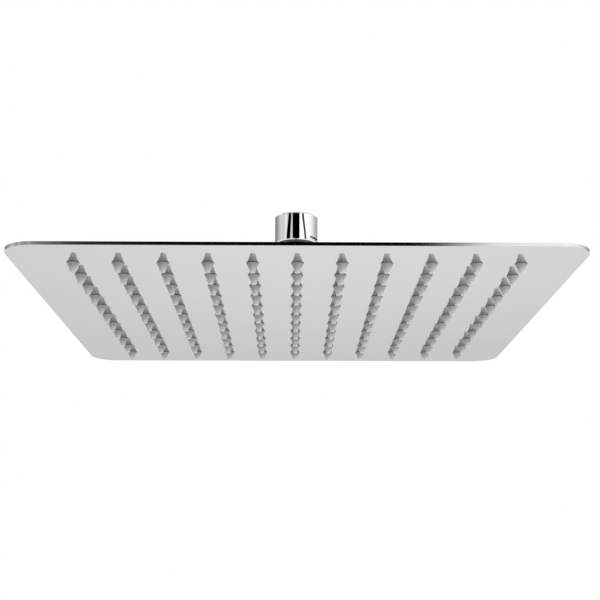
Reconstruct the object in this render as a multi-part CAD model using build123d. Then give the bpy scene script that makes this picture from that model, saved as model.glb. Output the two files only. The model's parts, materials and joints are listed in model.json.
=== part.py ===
from build123d import *
from math import cos, pi, radians, sin, sqrt, tan
import os

# Square rain shower head that hangs from a pipe on a ball joint, in millimetres.
# The origin is the centre of the inlet socket, where its thread starts under the lead-in chamfer.
# +Z points up along the inlet, out of the socket. The plate is level, with its sides facing X and Y.

# Plate: two stainless sheets that lie together at the rim and are welded there
plate_side = 300.0
corner_radius = 17.0
rim_round = 0.2
face_sheet = 1.0
back_sheet = 1.0

# Water chamber: a shallow pan pressed up in the back sheet
rim_width = 17.0
chamber_depth = 5.0
pan_corner_radius = 14.0
pan_wall_deg = 45.0
pan_bend = 2.0

# Nozzles: soft tapered plugs in a square grid, each with its own water way.
# There are many, so they are eight-sided with a four-sided water way. Diameters are across flats.
nozzle_count = 11
nozzle_margin = 15.0
nozzle_height = 5.25
nozzle_base_d = 6.0
nozzle_tip_d = 3.0
nozzle_tail = 0.8
nozzle_bore_d = 1.2
nozzle_sides = 8
nozzle_bore_sides = 4
nozzle_fit = 0.02

# Inlet collar: a G1/2 female socket, left smooth at the thread's major diameter
thread_d = 20.955
thread_length = 14.0
collar_wall = 3.4
collar_floor = 2.3
collar_top_round = 1.2
collar_foot_round = 1.8
collar_land = 0.85
lead_in = 0.8

# Neck and ball, turned in one piece with the collar
neck_d = 15.0
neck_length = 6.7
neck_cone_deg = 45.0
ball_d = 24.0
ball_foot_land = 1.5
water_d = 9.0

# Ball seats: a plastic liner above the ball's middle and a rubber seal below it
joint_gap = 0.1
liner_thickness = 1.5
liner_low_deg = 4.0
liner_high_deg = 38.0
liner_contact_deg = 22.0
seal_contact_deg = 45.0
seal_hole_d = 13.0
seal_side_gap = 0.1
seal_floor_gap = 0.4

# Base welded on the back sheet: a pilot, a flange and a cup for the ball
base_flange_margin = 4.0
base_flange_t = 5.0
base_flange_edge = 1.2
base_hole_d = 12.0
base_pilot_d = 16.0
base_pilot_fit = 0.05
cup_gap = 0.5
cup_wall = 3.5
cup_rim_below = 2.4

# Nut that screws over the base and closes the joint
nut_thread_gap = 0.1
nut_wall = 3.0
nut_lift = 0.6
nut_step_gap = 0.9
nut_cavity_gap = 0.4
nut_mouth_gap = 3.7
nut_mouth_flare = 0.6
nut_crown = 2.0
nut_shoulder = 3.5
nut_flat_depth = 1.6
nut_flat_height = 9.0

# Washer and filter screen in their recesses under the thread
washer_d = 18.4
washer_hole_d = 11.5
washer_t = 2.0
washer_fit = 0.1
screen_d = 15.0
screen_t = 0.6
screen_fit = 0.1
screen_mesh = 2.0
screen_wire = 0.6
screen_cells = 3

# Radii that follow from the sizes above
thread_r = thread_d / 2
collar_r = thread_r + collar_wall
neck_r = neck_d / 2
ball_r = ball_d / 2
water_r = water_d / 2
ball_foot_r = water_r + ball_foot_land
cup_r = ball_r + cup_gap
spigot_r = cup_r + cup_wall
liner_in_r = ball_r + joint_gap
liner_out_r = liner_in_r + liner_thickness
nut_seat_r = liner_out_r + joint_gap
nut_bore_r = spigot_r + nut_thread_gap
nut_r = nut_bore_r + nut_wall

# Levels, from the thread down to the face
thread_end = -thread_length
washer_floor = thread_end - washer_t
screen_floor = washer_floor - screen_t
collar_bottom = screen_floor - collar_floor
neck_top_r = collar_r - collar_foot_round - collar_land
neck_top = collar_bottom - (neck_top_r - neck_r) * tan(radians(neck_cone_deg))
neck_foot = neck_top - neck_length
ball_z = neck_foot - sqrt(ball_r ** 2 - neck_r ** 2)
flange_top = ball_z - ball_r - seal_floor_gap
plateau_top = flange_top - base_flange_t
chamber_top = plateau_top - back_sheet
face_top = chamber_top - chamber_depth
rim_top = face_top + back_sheet
face_z = face_top - face_sheet
cup_rim = ball_z - cup_rim_below
nut_bottom = flange_top + nut_lift

# Grid of the nozzles inside the pan
pan_side = plate_side - 2 * rim_width
nozzle_pitch = (pan_side - 2 * nozzle_margin) / (nozzle_count - 1)
grid_line = [nozzle_pitch * (i - (nozzle_count - 1) / 2) for i in range(nozzle_count)]


def on_sphere(radius, angle):
    """Radius and height of a point on a sphere about the ball's centre, at an angle above its middle."""
    return (radius * cos(radians(angle)), ball_z + radius * sin(radians(angle)))


def turned(*lines):
    """Solid turned about the Z axis from a closed profile of radius and height."""
    return revolve(Plane.XZ * make_face(lines), axis=Axis.Z)


def turned_corners(*corners):
    """Turned solid whose profile has straight sides between its corners."""
    return turned(Polyline(*corners, close=True))


def square_slab(side, radius, bottom, height, taper=0.0):
    """Rounded square standing on a level, drawn in by a taper angle as it rises."""
    return extrude(Pos(0, 0, bottom) * RectangleRounded(side, side, radius), amount=height, taper=taper)


def nozzle_corners(height, clearance=0.0):
    """Corners of a nozzle's outline at a height above the face, wider towards its tail."""
    spread = (nozzle_base_d - nozzle_tip_d) / 2 / nozzle_height
    corner_r = (nozzle_base_d / 2 + spread * height + clearance) / cos(pi / nozzle_sides)
    turns = [2 * pi * (i + 0.5) / nozzle_sides for i in range(nozzle_sides)]
    return [(corner_r * cos(turn), corner_r * sin(turn), face_z + height) for turn in turns]


def tapered_plug(bottom, top, clearance=0.0):
    """Flat-sided stretch of a nozzle's outside between two heights above the face."""
    low = nozzle_corners(bottom, clearance)
    high = nozzle_corners(top, clearance)
    sides = [(low[i - 1], low[i], high[i], high[i - 1]) for i in range(nozzle_sides)]
    return Solid(Shell([Face(Wire.make_polygon(corners)) for corners in [low, high, *sides]]))


def nozzle():
    """One nozzle: its thick tail lies inside the chamber, and the sheet grips it by its taper."""
    tail = face_sheet + nozzle_tail
    bore = RegularPolygon(nozzle_bore_d / 2, nozzle_bore_sides, major_radius=False)
    bore = extrude(Pos(0, 0, face_z - nozzle_height) * bore, amount=nozzle_height + tail)
    return tapered_plug(-nozzle_height, tail) - bore


def nozzle_row(y):
    """Nozzles of one row, as separate plugs."""
    plug = nozzle()
    return Compound(children=[Pos(x, y, 0) * plug for x in grid_line])


def face_plate():
    """Flat lower sheet with a rounded lower edge and a tapered hole for each nozzle."""
    sheet = square_slab(plate_side, corner_radius, face_z, face_sheet)
    sheet = fillet(sheet.faces().sort_by(Axis.Z)[0].edges(), rim_round)
    hole = tapered_plug(0, face_sheet, nozzle_fit)
    return sheet - [Pos(x, y, 0) * hole for x in grid_line for y in grid_line]


def back_cover():
    """Upper sheet: a flat rim on the face plate, and the pan pressed up to hold the water."""
    taper = 90 - pan_wall_deg
    inset = back_sheet * tan(radians(pan_wall_deg / 2))
    rim = square_slab(plate_side, corner_radius, face_top, back_sheet)
    outside = square_slab(pan_side, pan_corner_radius, rim_top, chamber_depth, taper)
    outside = fillet(outside.faces().sort_by(Axis.Z)[-1].edges(), pan_bend)
    inside_side = pan_side - 2 * inset
    inside = square_slab(inside_side, pan_corner_radius - inset, face_top, chamber_depth, taper)
    hole = Pos(0, 0, plateau_top) * Cylinder(base_pilot_d / 2 + base_pilot_fit, 4 * back_sheet)
    return rim + outside - inside - hole


def inlet_base():
    """Turned base: a pilot through the back sheet, a flange on it, and a cup for the ball."""
    hole_r = base_hole_d / 2
    pilot_r = base_pilot_d / 2
    flange_r = nut_r + base_flange_margin
    return turned_corners(
        (hole_r, chamber_top), (pilot_r, chamber_top), (pilot_r, plateau_top),
        (flange_r, plateau_top), (flange_r, flange_top - base_flange_edge),
        (flange_r - base_flange_edge, flange_top), (spigot_r, flange_top),
        (spigot_r, cup_rim), (cup_r, cup_rim), (cup_r, flange_top), (hole_r, flange_top))


def ball_seal():
    """Rubber ring on the floor of the cup, with a conical seat that the ball rests in."""
    touch_r, touch_z = on_sphere(ball_r + joint_gap, -seal_contact_deg)
    slope = 1 / tan(radians(seal_contact_deg))
    hole_r = seal_hole_d / 2
    outer_r = cup_r - seal_side_gap
    return turned_corners(
        (hole_r, flange_top), (outer_r, flange_top),
        (outer_r, touch_z + slope * (outer_r - touch_r)),
        (hole_r, touch_z + slope * (hole_r - touch_r)))


def ball_liner():
    """Plastic liner above the ball's middle: a conical seat inside, and round outside."""
    touch_r, touch_z = on_sphere(liner_in_r, liner_contact_deg)
    low = on_sphere(liner_out_r, liner_low_deg)
    high = on_sphere(liner_out_r, liner_high_deg)
    lean = tan(radians(liner_contact_deg))
    outside = RadiusArc(low, high, -liner_out_r)
    ends = Polyline(
        high, (touch_r - lean * (high[1] - touch_z), high[1]),
        (touch_r - lean * (low[1] - touch_z), low[1]), low)
    return turned(outside, ends)


def retaining_nut():
    """Nut over the base: a conical seat for the liner, an open mouth for the neck, two spanner flats."""
    seat_r, seat_z = on_sphere(nut_seat_r, liner_contact_deg)
    slope = 1 / tan(radians(liner_contact_deg))
    step = cup_rim + nut_step_gap
    cavity_r = liner_out_r + nut_cavity_gap
    mouth_r = neck_r + nut_mouth_gap
    mouth_z = seat_z + slope * (seat_r - mouth_r)
    top = mouth_z + nut_crown
    body = turned_corners(
        (nut_bore_r, nut_bottom), (nut_bore_r, step), (cavity_r, step),
        (cavity_r, seat_z + slope * (seat_r - cavity_r)), (mouth_r, mouth_z),
        (mouth_r + nut_mouth_flare, top), (nut_r - nut_shoulder, top),
        (nut_r, top - nut_shoulder), (nut_r, nut_bottom))
    flat = Box(2 * nut_r, nut_r, nut_flat_height, align=(Align.CENTER, Align.MIN, Align.MIN))
    flat = Pos(0, nut_r - nut_flat_depth, nut_bottom) * flat
    return body - flat - mirror(flat, Plane.XZ)


def swivel_connector():
    """Collar, neck and ball in one turned piece, with the pipe socket and the water way inside."""
    washer_r = washer_d / 2 + washer_fit
    screen_r = screen_d / 2 + screen_fit
    ball_foot = (ball_foot_r, ball_z - sqrt(ball_r ** 2 - ball_foot_r ** 2))
    socket = Polyline(
        ball_foot, (water_r, ball_foot[1]), (water_r, screen_floor), (screen_r, screen_floor),
        (screen_r, washer_floor), (washer_r, washer_floor), (washer_r, thread_end),
        (thread_r, thread_end), (thread_r, 0), (thread_r + lead_in, lead_in),
        (collar_r - collar_top_round, lead_in))
    top_rim = RadiusArc(socket @ 1, (collar_r, lead_in - collar_top_round), collar_top_round)
    side = Line(top_rim @ 1, (collar_r, collar_bottom + collar_foot_round))
    foot_rim = RadiusArc(side @ 1, (collar_r - collar_foot_round, collar_bottom), collar_foot_round)
    neck = Polyline(foot_rim @ 1, (neck_top_r, collar_bottom), (neck_r, neck_top), (neck_r, neck_foot))
    ball = RadiusArc(neck @ 1, ball_foot, ball_r)
    return turned(socket, top_rim, side, foot_rim, neck, ball)


def inlet_washer():
    """Flat rubber washer in its recess at the end of the thread, where the end of the pipe lands."""
    hole_r = washer_hole_d / 2
    outer_r = washer_d / 2
    return turned_corners(
        (hole_r, washer_floor), (outer_r, washer_floor), (outer_r, thread_end), (hole_r, thread_end))


def filter_screen():
    """Steel disc in its recess under the washer, with a square mesh over the water way."""
    disc = Cylinder(screen_d / 2, screen_t, align=(Align.CENTER, Align.CENTER, Align.MAX))
    step = screen_mesh + screen_wire
    cell = Box(screen_mesh, screen_mesh, 4 * screen_t)
    disc -= [place * cell for place in GridLocations(step, step, screen_cells, screen_cells)]
    return Pos(0, 0, washer_floor) * disc


pieces = {
    "face_plate": face_plate(),
    "back_cover": back_cover(),
    "inlet_base": inlet_base(),
    "ball_seal": ball_seal(),
    "ball_liner": ball_liner(),
    "retaining_nut": retaining_nut(),
    "swivel_connector": swivel_connector(),
    "inlet_washer": inlet_washer(),
    "filter_screen": filter_screen(),
}
for number, row_y in enumerate(grid_line, start=1):
    pieces[f"nozzle_row_{number:02d}"] = nozzle_row(row_y)

os.makedirs("parts", exist_ok=True)
for name, piece in pieces.items():
    export_step(piece, f"parts/{name}.step")
print(f"Collar rim above the face: {lead_in - face_z:.2f} mm, face at {face_z:.3f}, ball at {ball_z:.3f}")
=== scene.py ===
import json
from math import cos, pi, radians, sin, tau

import bmesh
import bpy
from mathutils import Matrix, Vector


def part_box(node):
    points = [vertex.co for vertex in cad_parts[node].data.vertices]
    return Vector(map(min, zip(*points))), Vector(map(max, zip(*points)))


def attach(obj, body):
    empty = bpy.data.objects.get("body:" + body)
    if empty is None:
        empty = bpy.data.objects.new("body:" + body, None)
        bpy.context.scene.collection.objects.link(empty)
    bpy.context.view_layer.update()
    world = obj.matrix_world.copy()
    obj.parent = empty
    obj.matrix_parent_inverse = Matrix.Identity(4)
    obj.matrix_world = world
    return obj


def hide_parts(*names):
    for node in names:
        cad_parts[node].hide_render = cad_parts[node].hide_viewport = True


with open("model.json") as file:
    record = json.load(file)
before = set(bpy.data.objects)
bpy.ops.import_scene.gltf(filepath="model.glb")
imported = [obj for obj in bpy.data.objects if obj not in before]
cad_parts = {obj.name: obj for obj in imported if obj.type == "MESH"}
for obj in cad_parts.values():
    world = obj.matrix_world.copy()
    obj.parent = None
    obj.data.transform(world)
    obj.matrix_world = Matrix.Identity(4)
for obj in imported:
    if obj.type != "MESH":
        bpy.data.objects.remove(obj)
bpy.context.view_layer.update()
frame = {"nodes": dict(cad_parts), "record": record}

# Square rain shower head in metres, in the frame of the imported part
MM = 0.001

# Camera fitted to the photograph: place from the middle of the face, turn to the right, tilt up and roll
CAMERA_PLACE = Vector((-4.26, -697.3, -165.03)) * MM
CAMERA_YAW_DEG = 0.556
CAMERA_PITCH_DEG = 14.067
CAMERA_ROLL_DEG = 0.0425
CAMERA_LENS = 68.61
CAMERA_SENSOR = 36.0
CAMERA_CLIP_START = 0.01

# Nozzles: a thin brim on the face, a hollow flare and a small rounded tip
BRIM_R = 3.4 * MM
BRIM_T = 0.3 * MM
BRIM_EDGE = 0.1 * MM
SHANK_R = 2.98 * MM
FLARE_R = 3.2 * MM
TIP_R = 1.47 * MM
TIP_ROUND = 0.2 * MM
ORIFICE_R = 0.6 * MM
FLARE_POWER = 1.5
FLARE_STEPS = 10
TIP_STEPS = 4
NOZZLE_SEGMENTS = 32

# Greys of the silicone from the face to the tip, with painted shade and light: dark round the brim where it
# meets the face, then painted paler towards the tip as if lit from the floor below
SILICONE_PAINTED_SHADE_GREYS = ((0.0, 0.08), (0.035, 0.1), (0.055, 0.27), (0.45, 0.38), (1.0, 0.66))
SILICONE_STREAKS = (-0.2, 0.2)

# Metals: lowest and highest grey and roughness, and the upward normals of the sheet's top and of the
# chrome's undersides, which are given painted shade
MIRROR_GREYS = (0.68, 0.71)
MIRROR_ROUGHNESS = (0.045, 0.06)
MIRROR_TINT = (0.85, 0.85, 0.85, 1)
BRUSHED_GREYS = (0.52, 0.62)
BRUSHED_ROUGHNESS = (0.17, 0.24)
CHROME_GREYS = (0.86, 0.9)
# Painted shade: dark greys that the chrome's undersides take in place of bright chrome
CHROME_UNDERSIDE_SHADE_GREYS = (0.16, 0.2)
CHROME_ROUGHNESS = (0.008, 0.016)
TOP_SLOPE = (0.3, 0.6, 0, 1)
UNDERSIDE_SHADE_SLOPE = (-0.45, -0.3, 1, 0)

# Pipe thread in the socket, 14 turns to the inch
THREAD_PITCH = 25.4 * MM / 14
THREAD_DEPTH = 1.162 * MM
THREAD_HALF_ROOT = 0.46 * THREAD_PITCH
THREAD_HALF_CREST = 0.175 * MM
THREAD_SEGMENTS = 72
THREAD_RUN_OUT_TURNS = 0.5
THREAD_LEAST_SHARE = 0.02

# Edges of the pieces made here that are sharper than this stay sharp in their shading
SHARP_EDGE_DEG = 35

# Middle of a noise's range, over which it carries a value from one end to the other
NOISE_RANGE = (0.3, 0.7)

# Studio: the floor under the hanging head, a soft lamp behind and above it, and one low on the right
FLOOR_BELOW = 0.35
FLOOR_RADIUS = 14.0
FLOOR_SEGMENTS = 96
FLOOR_GREYS = (0.86, 0.9)
FLOOR_WHITE_RADII = (2.5, 6.0)
LAMP_PLACE = Vector((0.1, 0.95, 0.35))
LAMP_AIM = Vector((0, 0, -1))
LAMP_SIZE = 1.0
LAMP_POWER = 2.6
SIDE_LAMP_PLACE = Vector((0.42, -0.3, -0.2))
SIDE_LAMP_SIZE = 0.25
SIDE_LAMP_POWER = 0.8
SKY = 0.88

# What polished metal mirrors, by azimuth and elevation in degrees. An azimuth of 0 is straight ahead of the
# plate, towards the camera, and + is to the right. A band is two limits and the softness of its ends, and a
# slope is two angles and the values at them. First come the greys round the room, level with the collar
LEVEL_GREYS = (
    (-180, 1.15), (-151, 1.15), (-146, 0.2), (-130, 0.25), (-109, 0.45), (-88, 0.7), (-62, 0.7), (-57, 1.1),
    (-50, 0.7), (-14, 0.7), (10, 1.35), (60, 1.2), (83, 1.03), (99, 0.83), (116, 0.55), (138, 0.43),
    (156, 0.4), (160, 1.15), (180, 1.15))
LEVEL_BAND = (15.6, 20, 0.6)

# Dark strips left and right of the camera: their sides at the foot and the head, and the share they darken
STRIPS = (((-53.5, -32), (-39.5, -25.3), 1.0), ((46, 56.5), (28, 40), 0.95))
STRIP_FOOT = 16.9
STRIP_HEAD = 18.7
STRIP_SOFT = 1.2
STRIP_START = (16.7, 17.0, 0, 1)

# Dark line at the right that sinks with the azimuth
LINE_HEIGHT = 17.448
LINE_SINKING = -0.0026
LINE_THICKNESS = (-0.045, 0.045, 0.02)
LINE_ENDS = (78, 150, 6)

# Shade low at the left
SHADE_BELOW = (16.7, 17.1, 1, 0)
SHADE_BAND = (-80, -12, 8)
SHADE_SHARE = 0.45

# Dark front at the camera, wider higher up: its left and right limits and their softness by elevation. Its
# right part goes on below the level greys
FRONT_LEFT = (16.8, 17.12, -13, -19)
FRONT_RIGHT = (16.7, 17.1, 8.7, 18)
FRONT_SOFT = (16.7, 17.1, 2.3, 1.0)
FRONT_LOW_BAND = (1, 17, 1)
FRONT_LOW_START = (-12, -2, 0, 1)

# Pale room that is greyer overhead, with a dark panel over the camera that is weaker at the right
ROOM_GREYS = (65, 80, 0.95, 0.75)
PANEL_BAND = (19, 56, 6)
PANEL_SIDES = (60, 110, 1, 0)
PANEL_RIGHT = (5, 30, 1.0, 0.35)
PANEL_SHARE = 0.66

# Heights that the pieces made here take from the part
nozzle_nodes = sorted(name for name in frame["nodes"] if name.startswith("nozzle_row"))
face_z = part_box("face_plate")[0].z
tip_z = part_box(nozzle_nodes[0])[0].z


def node_tree(owner):
    """Empty node tree of a material or a world."""
    owner.use_nodes = True
    owner.node_tree.nodes.clear()
    return owner.node_tree


def add(tree, kind, **settings):
    """New node with some of its properties set."""
    node = tree.nodes.new(kind)
    for name, value in settings.items():
        setattr(node, name, value)
    return node


def feed(tree, socket, value):
    """Links a socket to another one, or sets it to a constant."""
    if isinstance(value, bpy.types.NodeSocket):
        tree.links.new(value, socket)
    else:
        socket.default_value = value


def math(tree, operation, *values):
    """Math node's result."""
    node = add(tree, "ShaderNodeMath", operation=operation)
    for socket, value in zip(node.inputs, values):
        feed(tree, socket, value)
    return node.outputs[0]


def times(tree, first, second):
    """Product of two values."""
    return math(tree, "MULTIPLY", first, second)


def slope(tree, value, low, high, to_low, to_high):
    """Value carried smoothly from one range to another, and held at its ends."""
    node = add(tree, "ShaderNodeMapRange", interpolation_type="SMOOTHSTEP")
    for socket, number in zip(node.inputs, (value, low, high, to_low, to_high)):
        feed(tree, socket, number)
    return node.outputs[0]


def band(tree, value, low, high, soft):
    """1 between two limits and 0 outside, with soft ends. Limits and softness are numbers or sockets."""
    rise = math(tree, "DIVIDE", math(tree, "SUBTRACT", value, low), soft)
    fall = math(tree, "DIVIDE", math(tree, "SUBTRACT", high, value), soft)
    return times(tree, slope(tree, rise, -1, 1, 0, 1), slope(tree, fall, -1, 1, 0, 1))


def darkened(tree, light, share, mask):
    """Light with a share of it taken away where a mask is 1."""
    return times(tree, light, math(tree, "MULTIPLY_ADD", mask, -share, 1.0))


def coordinate(tree, kind):
    """X, Y and Z of a texture coordinate. Object and Normal are in the part's frame."""
    parts = add(tree, "ShaderNodeSeparateXYZ")
    feed(tree, parts.inputs[0], add(tree, "ShaderNodeTexCoord").outputs[kind])
    return tuple(parts.outputs)


def noise(tree, scale, detail, stretch=(1, 1, 1)):
    """Noise over the object in the part's frame, with features of about 1 / scale metres."""
    mapping = add(tree, "ShaderNodeMapping")
    mapping.inputs["Scale"].default_value = stretch
    feed(tree, mapping.inputs["Vector"], add(tree, "ShaderNodeTexCoord").outputs["Object"])
    node = add(tree, "ShaderNodeTexNoise")
    node.inputs["Scale"].default_value = scale
    node.inputs["Detail"].default_value = detail
    feed(tree, node.inputs["Vector"], mapping.outputs["Vector"])
    return node.outputs["Fac"]


def number_between(tree, factor, low, high):
    """Number that goes from one to another."""
    node = add(tree, "ShaderNodeMix")
    for name, value in (("Factor", factor), ("A", low), ("B", high)):
        feed(tree, node.inputs[name], value)
    return node.outputs["Result"]


def gradient(tree, place, stops):
    """Grey along a line from 0 to 1, through stops that each have a place and a grey."""
    node = add(tree, "ShaderNodeValToRGB")
    elements = node.color_ramp.elements
    while len(elements) < len(stops):
        elements.new(1.0)
    for element, (position, grey) in zip(elements, stops):
        element.position = position
        element.color = (grey, grey, grey, 1)
    feed(tree, node.inputs["Fac"], place)
    return node.outputs["Color"]


def bumped(tree, height, strength, distance):
    """Normal that follows a height."""
    node = add(tree, "ShaderNodeBump")
    node.inputs["Strength"].default_value = strength
    node.inputs["Distance"].default_value = distance
    feed(tree, node.inputs["Height"], height)
    return node.outputs["Normal"]


def mixed(tree, factor, first, second):
    """Mix of two shaders."""
    node = add(tree, "ShaderNodeMixShader")
    for socket, value in zip(node.inputs, (factor, first, second)):
        feed(tree, socket, value)
    return node.outputs[0]


def surface(name, **inputs):
    """Material with a Principled surface, its tree and its shader."""
    material = bpy.data.materials.new(name)
    tree = node_tree(material)
    shader = add(tree, "ShaderNodeBsdfPrincipled")
    output = add(tree, "ShaderNodeOutputMaterial")
    feed(tree, output.inputs["Surface"], shader.outputs[0])
    for socket, value in inputs.items():
        shader.inputs[socket.replace("_", " ")].default_value = value
    return material, tree, shader


def grained(tree, shader, grain, greys=None, roughness=None):
    """Lets a noise carry a surface's grey and its roughness from a low to a high value."""
    if greys:
        feed(tree, shader.inputs["Base Color"], number_between(tree, grain, *greys))
    if roughness:
        feed(tree, shader.inputs["Roughness"], slope(tree, grain, *NOISE_RANGE, *roughness))


def polished_steel():
    """Stainless sheet: a mirror with a faint haze from buffing on the face and edge, and brushed on top."""
    material, tree, shader = surface("polished_stainless", Metallic=1.0, Specular_Tint=MIRROR_TINT)
    upward = coordinate(tree, "Normal")[2]
    top = slope(tree, upward, *TOP_SLOPE)
    haze = noise(tree, scale=18, detail=3)
    buffing = noise(tree, scale=300, detail=2, stretch=(0.05, 1, 1))
    brushing = noise(tree, scale=900, detail=3, stretch=(0.02, 1, 1))
    mirror_grey = number_between(tree, haze, *MIRROR_GREYS)
    brushed_grey = number_between(tree, brushing, *BRUSHED_GREYS)
    mirror_rough = slope(tree, buffing, *NOISE_RANGE, *MIRROR_ROUGHNESS)
    brushed_rough = slope(tree, brushing, *NOISE_RANGE, *BRUSHED_ROUGHNESS)
    feed(tree, shader.inputs["Base Color"], number_between(tree, top, mirror_grey, brushed_grey))
    feed(tree, shader.inputs["Roughness"], number_between(tree, top, mirror_rough, brushed_rough))
    return material


def chrome():
    """Bright chrome plating on turned brass, with painted shade: a dark grey on the undersides."""
    material, tree, shader = surface("chrome_plating", Metallic=1.0)
    upward = coordinate(tree, "Normal")[2]
    under = slope(tree, upward, *UNDERSIDE_SHADE_SLOPE)
    haze = noise(tree, scale=90, detail=2)
    # Painted shade: the undersides are painted dark grey instead of bright chrome
    bright = number_between(tree, haze, *CHROME_GREYS)
    underside_shade = number_between(tree, haze, *CHROME_UNDERSIDE_SHADE_GREYS)
    feed(tree, shader.inputs["Base Color"], number_between(tree, under, bright, underside_shade))
    grained(tree, shader, haze, roughness=CHROME_ROUGHNESS)
    return material


def silicone():
    """Grey moulded silicone with painted shade near the face and painted light paler towards the tip, with
    faint streaks and a fine satin grain.
    """
    material, tree, shader = surface("grey_silicone", IOR=1.41)
    height = coordinate(tree, "Object")[2]
    depth = math(tree, "MULTIPLY_ADD", height, 1 / (tip_z - face_z), -face_z / (tip_z - face_z))
    streaks = number_between(tree, noise(tree, scale=800, detail=2, stretch=(1, 1, 0.15)), *SILICONE_STREAKS)
    streaked = math(tree, "ADD", depth, times(tree, depth, streaks))
    # Painted shade and light: the grey is dark at the face and paler towards the tip
    feed(tree, shader.inputs["Base Color"], gradient(tree, streaked, SILICONE_PAINTED_SHADE_GREYS))
    grain = noise(tree, scale=4000, detail=2)
    grained(tree, shader, grain, roughness=(0.24, 0.36))
    feed(tree, shader.inputs["Normal"], bumped(tree, grain, strength=0.15, distance=0.05 * MM))
    return material


def black_rubber():
    """Matt black moulded rubber."""
    material, tree, shader = surface("black_rubber", IOR=1.5)
    grain = noise(tree, scale=2500, detail=3)
    grained(tree, shader, grain, greys=(0.02, 0.045), roughness=(0.5, 0.7))
    feed(tree, shader.inputs["Normal"], bumped(tree, grain, strength=0.3, distance=0.05 * MM))
    return material


def white_plastic():
    """Off-white bearing plastic with the soft sheen of a moulding."""
    material, tree, shader = surface("white_plastic", IOR=1.48)
    grained(tree, shader, noise(tree, scale=400, detail=2), greys=(0.74, 0.82), roughness=(0.32, 0.42))
    return material


def screen_steel():
    """Plain stainless of the filter screen."""
    material, tree, shader = surface("screen_stainless", Metallic=1.0)
    grained(tree, shader, noise(tree, scale=1500, detail=2), greys=(0.45, 0.58), roughness=(0.2, 0.35))
    return material


def pale_floor():
    """Plain pale floor with hardly any mottle, white far out, which can be seen through from below."""
    material, tree, shader = surface("pale_floor", Roughness=0.9)
    grained(tree, shader, noise(tree, scale=2, detail=2), greys=FLOOR_GREYS)
    reach = add(tree, "ShaderNodeVectorMath", operation="LENGTH")
    feed(tree, reach.inputs[0], add(tree, "ShaderNodeTexCoord").outputs["Object"])
    path = add(tree, "ShaderNodeLightPath")
    seen = math(tree, "MAXIMUM", path.outputs["Is Camera Ray"], path.outputs["Is Glossy Ray"])
    far = times(tree, slope(tree, reach.outputs["Value"], *FLOOR_WHITE_RADII, 0, 1), seen)
    white = add(tree, "ShaderNodeEmission")
    white.inputs["Color"].default_value = (1, 1, 1, 1)
    top = mixed(tree, far, shader.outputs[0], white.outputs[0])
    below = add(tree, "ShaderNodeNewGeometry").outputs["Backfacing"]
    clear = add(tree, "ShaderNodeBsdfTransparent")
    result = mixed(tree, below, top, clear.outputs[0])
    feed(tree, tree.nodes["Material Output"].inputs["Surface"], result)
    return material


def mesh_piece(name, fill, material):
    """Smooth-shaded object from a function that fills a bmesh, with its sharp edges kept."""
    mesh = bpy.data.meshes.new(name)
    shape = bmesh.new()
    fill(shape)
    bmesh.ops.recalc_face_normals(shape, faces=shape.faces)
    shape.to_mesh(mesh)
    shape.free()
    mesh.materials.append(material)
    mesh.shade_smooth()
    mesh.set_sharp_from_angle(angle=radians(SHARP_EDGE_DEG))
    piece = bpy.data.objects.new(name, mesh)
    bpy.context.scene.collection.objects.link(piece)
    return piece


def ring_surface(shape, rings, closed):
    """Joins rings of points with quads, each ring to the next and, if closed, the last to the first."""
    loops = [[shape.verts.new(point) for point in ring] for ring in rings]
    if closed:
        loops.append(loops[0])
    for low, high in zip(loops, loops[1:]):
        for i in range(len(low)):
            shape.faces.new((low[i - 1], low[i], high[i], high[i - 1]))
    return loops


def turned_rings(profile, centre, segments):
    """Rings of a profile of radius and height, turned about a vertical line through a point."""
    turns = [tau * i / segments for i in range(segments)]
    return [[(centre.x + r * cos(t), centre.y + r * sin(t), z) for t in turns] for r, z in profile]


def nozzle_profile(tail_z):
    """Section of a nozzle: down its water way, round the tip, up the flare to the brim, and up the shank."""
    rounding_z = tip_z + TIP_ROUND
    profile = [(ORIFICE_R, tail_z), (ORIFICE_R, tip_z)]
    for i in range(TIP_STEPS + 1):
        turn = pi / 2 * i / TIP_STEPS
        profile.append((TIP_R - TIP_ROUND * (1 - sin(turn)), rounding_z - TIP_ROUND * cos(turn)))
    brim_z = face_z - BRIM_T
    for i in range(1, FLARE_STEPS + 1):
        t = i / FLARE_STEPS
        flare_r = TIP_R + (FLARE_R - TIP_R) * t ** FLARE_POWER
        profile.append((flare_r, rounding_z + (brim_z - rounding_z) * t))
    brim = [(BRIM_R - BRIM_EDGE, brim_z), (BRIM_R, brim_z + BRIM_EDGE), (BRIM_R, face_z)]
    return profile + brim + [(SHANK_R, face_z), (SHANK_R, tail_z)]


def nozzle_row(node, count, material):
    """Round nozzles in the places of one row's plugs."""
    low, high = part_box(node)
    width = high.y - low.y
    step = (high.x - low.x - width) / (count - 1)
    profile = nozzle_profile(high.z)

    def fill(shape):
        for i in range(count):
            centre = Vector((low.x + width / 2 + step * i, (low.y + high.y) / 2, 0))
            ring_surface(shape, turned_rings(profile, centre, NOZZLE_SEGMENTS), closed=True)

    row = mesh_piece(node.replace("nozzle_row", "nozzles"), fill, material)
    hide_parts(node)
    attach(row, "head")


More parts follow.
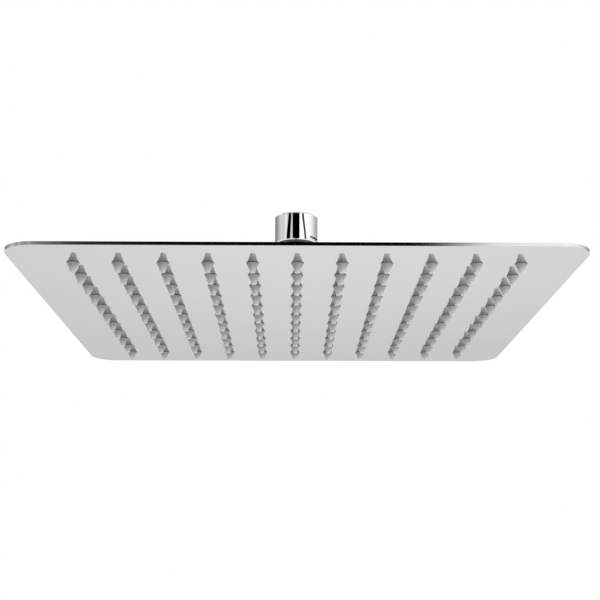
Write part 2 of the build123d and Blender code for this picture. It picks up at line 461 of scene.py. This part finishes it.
def socket_thread(material):
    """Ridge of the pipe thread on the wall of the socket, running out at both ends."""
    dims = frame["record"]["mounts"][0]["dims"]
    wall_r = dims["r_mm"] * MM
    length = dims["length_mm"] * MM
    turns = length / THREAD_PITCH - 1

    def section(turn):
        """Four points across the ridge after some turns from its lower end."""
        run_out = min(turn, turns - turn) / THREAD_RUN_OUT_TURNS
        crest_r = wall_r - THREAD_DEPTH * max(min(1, run_out), THREAD_LEAST_SHARE)
        z = -length + THREAD_PITCH * (turn + 0.5)
        corners = ((wall_r, -THREAD_HALF_ROOT), (crest_r, -THREAD_HALF_CREST),
                   (crest_r, THREAD_HALF_CREST), (wall_r, THREAD_HALF_ROOT))
        return [(r * cos(tau * turn), r * sin(tau * turn), z + dz) for r, dz in corners]

    def fill(shape):
        count = round(turns * THREAD_SEGMENTS)
        sections = [section(i / THREAD_SEGMENTS) for i in range(count + 1)]
        loops = ring_surface(shape, sections, closed=False)
        shape.faces.new(loops[0])
        shape.faces.new(loops[-1])

    thread = mesh_piece("inlet_thread", fill, material)
    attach(thread, "connector")


def camera():
    """Camera at the photograph's place."""
    data = bpy.data.cameras.new("photo_camera")
    data.lens = CAMERA_LENS
    data.sensor_width = CAMERA_SENSOR
    data.clip_start = CAMERA_CLIP_START
    eye = bpy.data.objects.new("photo_camera", data)
    turn = Matrix.Rotation(radians(-CAMERA_YAW_DEG), 4, "Z")
    tilt = Matrix.Rotation(radians(90 + CAMERA_PITCH_DEG), 4, "X")
    roll = Matrix.Rotation(radians(CAMERA_ROLL_DEG), 4, "Z")
    eye.matrix_world = Matrix.Translation(CAMERA_PLACE + Vector((0, 0, face_z))) @ turn @ tilt @ roll
    bpy.context.scene.collection.objects.link(eye)
    bpy.context.scene.camera = eye


def floor(material):
    """Round floor under the hanging head."""
    def fill(shape):
        bmesh.ops.create_circle(shape, cap_ends=True, segments=FLOOR_SEGMENTS, radius=FLOOR_RADIUS)
        bmesh.ops.translate(shape, verts=shape.verts, vec=(0, 0, face_z - FLOOR_BELOW))

    piece = mesh_piece("floor", fill, material)
    if piece.data.polygons[0].normal.z < 0:
        piece.data.flip_normals()


def softbox(name, place, aim, size, power):
    """Square lamp that looks along a direction, and that neither the camera nor polished metal sees."""
    data = bpy.data.lights.new(name, "AREA")
    data.size = size
    data.energy = power
    lamp = bpy.data.objects.new(name, data)
    lamp.location = place
    lamp.rotation_euler = aim.to_track_quat("-Z", "Y").to_euler()
    lamp.visible_camera = False
    lamp.visible_glossy = False
    bpy.context.scene.collection.objects.link(lamp)


def mirrored_room(tree):
    """Greys of the room that polished metal mirrors, by the direction of a ray."""
    x, y, z = coordinate(tree, "Generated")
    azimuth = math(tree, "DEGREES", math(tree, "ARCTAN2", x, times(tree, y, -1.0)))
    elevation = math(tree, "DEGREES", math(tree, "ARCSINE", z))

    stops = [(turn / 360 + 0.5, grey) for turn, grey in LEVEL_GREYS]
    level = gradient(tree, math(tree, "MULTIPLY_ADD", azimuth, 1 / 360, 0.5), stops)
    strip_start = slope(tree, elevation, *STRIP_START)
    for foot, head, share in STRIPS:
        sides = [slope(tree, elevation, STRIP_FOOT, STRIP_HEAD, *ends) for ends in zip(foot, head)]
        strip = band(tree, azimuth, *sides, STRIP_SOFT)
        level = darkened(tree, level, share, times(tree, strip, strip_start))
    line = math(tree, "MULTIPLY_ADD", azimuth, LINE_SINKING, LINE_HEIGHT)
    on_line = band(tree, math(tree, "SUBTRACT", elevation, line), *LINE_THICKNESS)
    level = darkened(tree, level, 1.0, times(tree, on_line, band(tree, azimuth, *LINE_ENDS)))
    shade = times(tree, slope(tree, elevation, *SHADE_BELOW), band(tree, azimuth, *SHADE_BAND))
    level = darkened(tree, level, SHADE_SHARE, shade)
    limits = [slope(tree, elevation, *limit) for limit in (FRONT_LEFT, FRONT_RIGHT, FRONT_SOFT)]
    front = band(tree, azimuth, *limits)
    level = darkened(tree, level, 1.0, front)

    ahead = slope(tree, math(tree, "ABSOLUTE", azimuth), *PANEL_SIDES)
    panel = times(tree, ahead, band(tree, elevation, *PANEL_BAND))
    panel = times(tree, panel, slope(tree, azimuth, *PANEL_RIGHT))
    room = darkened(tree, slope(tree, elevation, *ROOM_GREYS), PANEL_SHARE, panel)
    low = times(tree, slope(tree, azimuth, *FRONT_LOW_START), band(tree, elevation, *FRONT_LOW_BAND))
    room = darkened(tree, room, 1.0, times(tree, front, low))
    return number_between(tree, band(tree, elevation, *LEVEL_BAND), room, level)


def background(tree, colour):
    """Background of a colour or a socket."""
    node = add(tree, "ShaderNodeBackground")
    feed(tree, node.inputs["Color"], colour)
    return node.outputs[0]


def studio_world():
    """Soft light from all round and a white background. Polished metal mirrors the room round the camera."""
    world = bpy.data.worlds.new("studio")
    bpy.context.scene.world = world
    tree = node_tree(world)
    path = add(tree, "ShaderNodeLightPath")
    light = background(tree, (SKY, SKY, SKY, 1))
    mirrored = mixed(tree, path.outputs["Is Glossy Ray"], light, background(tree, mirrored_room(tree)))
    seen = mixed(tree, path.outputs["Is Camera Ray"], mirrored, background(tree, (1, 1, 1, 1)))
    feed(tree, add(tree, "ShaderNodeOutputWorld").inputs["Surface"], seen)


finishes = {
    "polished_steel": polished_steel(),
    "chrome_plate": chrome(),
    "grey_silicone": silicone(),
    "black_rubber": black_rubber(),
    "white_plastic": white_plastic(),
    "screen_steel": screen_steel(),
}
for subpart in frame["record"]["subparts"]:
    frame["nodes"][subpart["node"]].material_slots[0].material = finishes[subpart["material_slot"]]

for node in nozzle_nodes:
    nozzle_row(node, len(nozzle_nodes), finishes["grey_silicone"])
socket_thread(finishes["chrome_plate"])
floor(pale_floor())
softbox("softbox", LAMP_PLACE, LAMP_AIM, LAMP_SIZE, LAMP_POWER)
side_lamp_aim = Vector((0, 0, face_z)) - SIDE_LAMP_PLACE
softbox("side_softbox", SIDE_LAMP_PLACE, side_lamp_aim, SIDE_LAMP_SIZE, SIDE_LAMP_POWER)
studio_world()
camera()
bpy.context.scene.view_settings.view_transform = "Standard"
